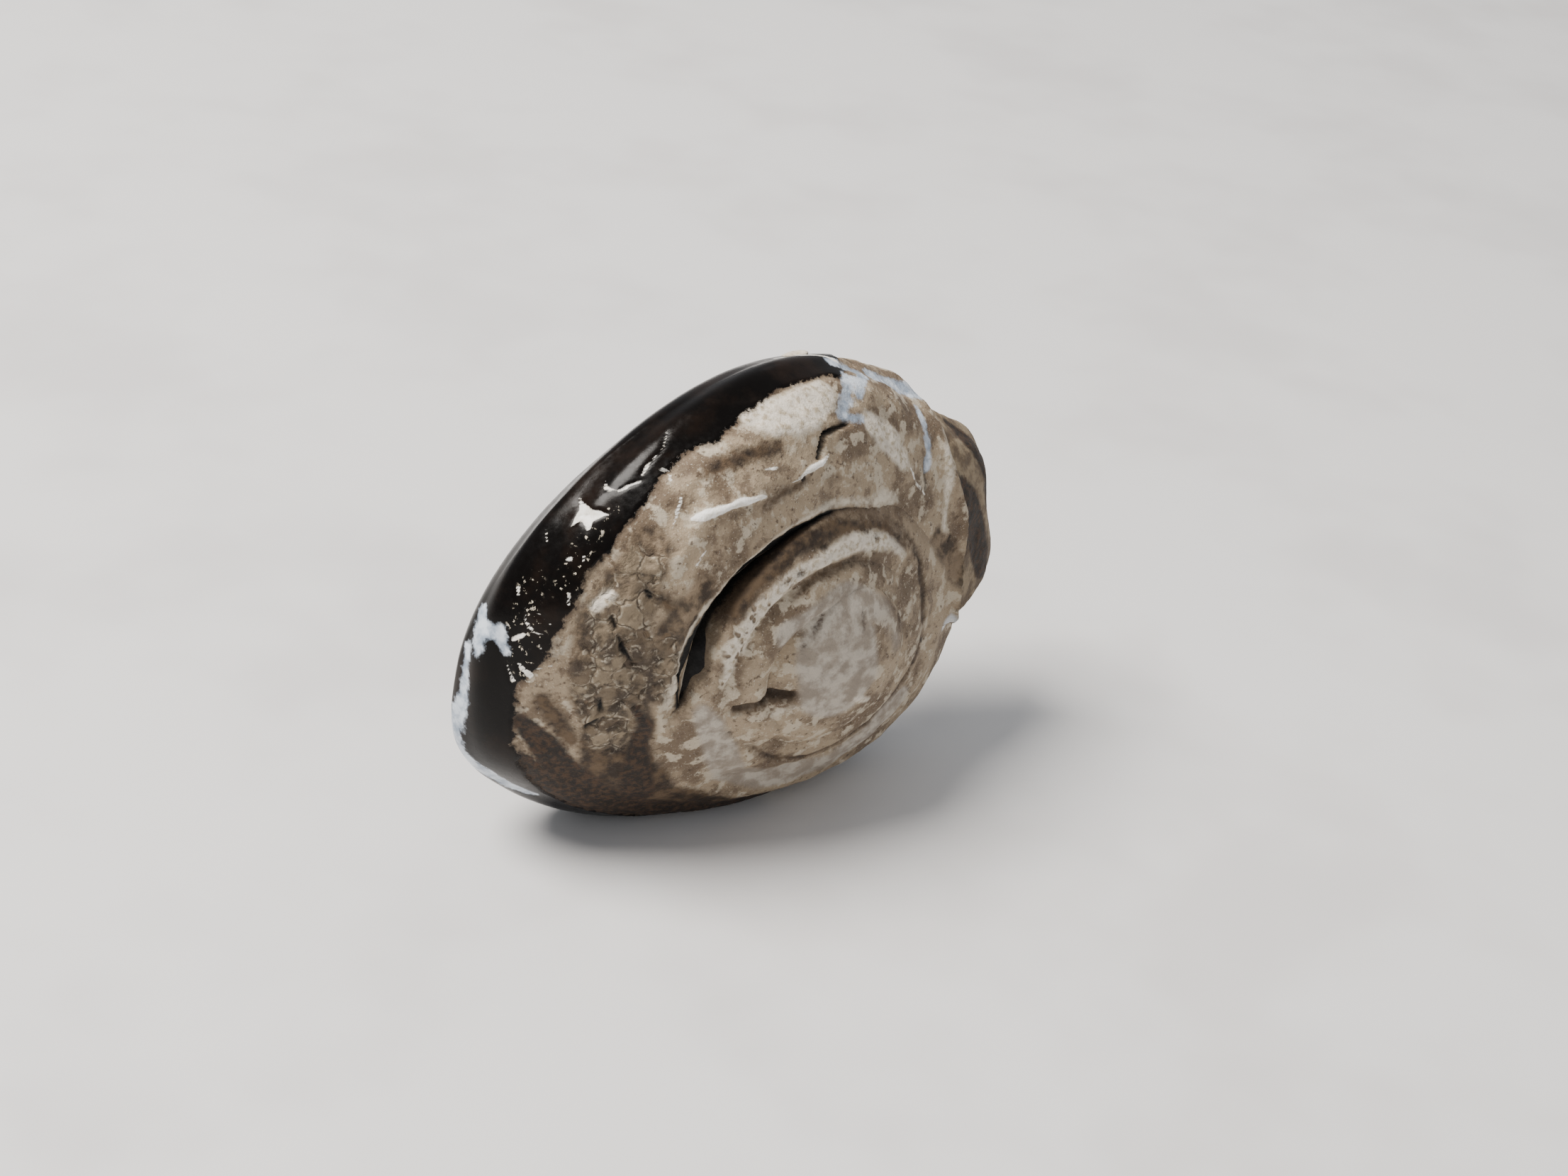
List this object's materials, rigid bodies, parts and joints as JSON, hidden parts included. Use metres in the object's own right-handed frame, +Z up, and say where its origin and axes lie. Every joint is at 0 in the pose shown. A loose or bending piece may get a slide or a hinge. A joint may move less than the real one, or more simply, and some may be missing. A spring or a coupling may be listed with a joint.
{
  "type": "turban shell",
  "caption": "Worn sea-snail shell with a low coiled spire, a dark band round the last whorl, an eroded pale top and an open mouth facing down.",
  "frame": {"origin": "on the table, under the middle of the shell's bounding box", "axes": "+Z up from the table; the spire points to the front right, 36.9 degrees from -Y towards +X, and dips 3 degrees; the lip is at the right"},
  "size_m": [0.0282, 0.0256, 0.027],
  "materials": {
    "shell": "worn lime, chalky and beige on the eroded top, with a glossy black-brown outer layer left round the edge"
  },
  "bodies": {
    "root": {"shell": "shell"}
  },
  "joints": []
}
